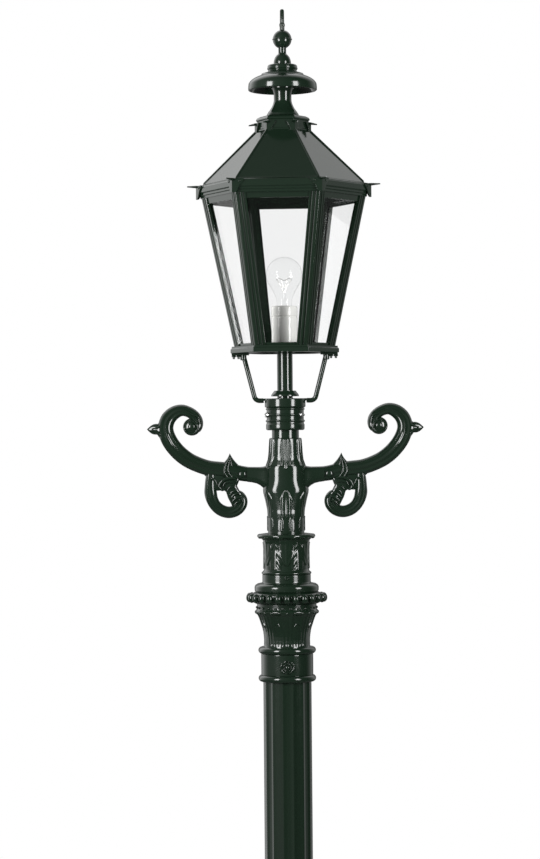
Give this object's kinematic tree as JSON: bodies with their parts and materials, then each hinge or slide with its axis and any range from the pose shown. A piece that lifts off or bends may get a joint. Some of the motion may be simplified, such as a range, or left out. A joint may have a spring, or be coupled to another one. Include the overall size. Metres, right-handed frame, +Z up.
{
  "type": "street lamp post",
  "caption": "Cast street lamp post: fluted shaft on a pedestal with access door, scroll ladder arms and a hexagonal glazed lantern with hinged roof.",
  "frame": {"origin": "centre of the foot flange's underside, on the ground and on the post's axis", "axes": "+Z up along the post; X along the two ladder arms; -Y towards the viewer, the side with the access door"},
  "size_m": [0.46, 0.32, 3],
  "materials": {
    "green_paint": "very dark green gloss paint on castings",
    "steel": "zinc-plated steel fasteners and tube",
    "grey_plastic": "moulded insulating board",
    "white_plastic": "moulded fuse carrier",
    "cable_sheath": "round rubber cable sheath",
    "porcelain": "white glazed porcelain",
    "brass": "stamped brass contacts",
    "nickel": "nickel-plated screw cap",
    "lamp_wire": "glass stem with filament and support wires",
    "bulb_glass": "clear blown glass",
    "pane_glass": "clear flat glass"
  },
  "bodies": {
    "post": {"base_flange": "green_paint", "flange_bolts": "steel", "pedestal": "green_paint", "door_hinge_pins": "steel", "board_bracket": "steel", "terminal_board": "grey_plastic", "fuse_block": "white_plastic", "board_screws": "steel", "lamp_cable": "cable_sheath", "shaft": "green_paint", "shaft_foot_ring": "green_paint", "neck_band": "green_paint", "band_rosettes": "green_paint", "capital": "green_paint", "bead_ring": "green_paint", "leaf_socket": "green_paint", "socket_screws": "steel", "post_hub": "green_paint", "ladder_arm_left": "green_paint", "ladder_arm_right": "green_paint", "arm_bolts": "steel", "core_tube": "steel"},
    "lantern": {"lantern_collar": "green_paint", "collar_screws": "steel", "lantern_yoke": "green_paint", "yoke_nut": "green_paint", "yoke_foot_screws": "green_paint", "conduit_tube": "green_paint", "conduit_nuts": "green_paint", "lantern_floor": "green_paint", "lantern_base_ring": "green_paint", "corner_posts": "green_paint", "glass_panes": "pane_glass", "glazing_strips": "green_paint", "lantern_cornice": "green_paint", "cornice_ears": "green_paint", "ear_screws": "steel", "roof_catch": "steel", "lamp_holder": "porcelain", "holder_ring": "porcelain", "holder_contacts": "brass", "bulb_glass": "bulb_glass", "bulb_cap": "nickel", "bulb_stem": "lamp_wire", "hinge_leaf_fixed": "green_paint", "hinge_pin": "steel"},
    "roof": {"roof_hood": "green_paint", "roof_crown": "green_paint", "crown_ears": "green_paint", "chimney": "green_paint", "chimney_cap": "green_paint", "finial_base": "green_paint", "finial_ball": "green_paint", "finial_spike": "green_paint", "tie_rod": "steel", "tie_rod_nut": "steel", "hinge_leaf_roof": "green_paint"},
    "door": {"access_door": "green_paint"},
    "lock": {"door_lock": "steel", "lock_cam": "steel"}
  },
  "joints": [
    {"name": "lantern_swivel", "type": "hinge", "parent": "post", "child": "lantern", "pos_m": [0, 0, 2.3], "axis": [0, 0, 1], "range_deg": [-180, 180]},
    {"name": "roof_hinge", "type": "hinge", "parent": "lantern", "child": "roof", "pos_m": [0.01142, 0.1305, 2.711], "axis": [-0.9962, 0.0872, 0], "range_deg": [0, 100]},
    {"name": "door_hinge", "type": "hinge", "parent": "post", "child": "door", "pos_m": [-0.037, -0.101, 0.225], "axis": [0, 0, -1], "range_deg": [0, 110]},
    {"name": "door_lock_turn", "type": "hinge", "parent": "door", "child": "lock", "pos_m": [0.019, -0.096, 0.225], "axis": [0, -1, 0], "range_deg": [0, 90]}
  ]
}
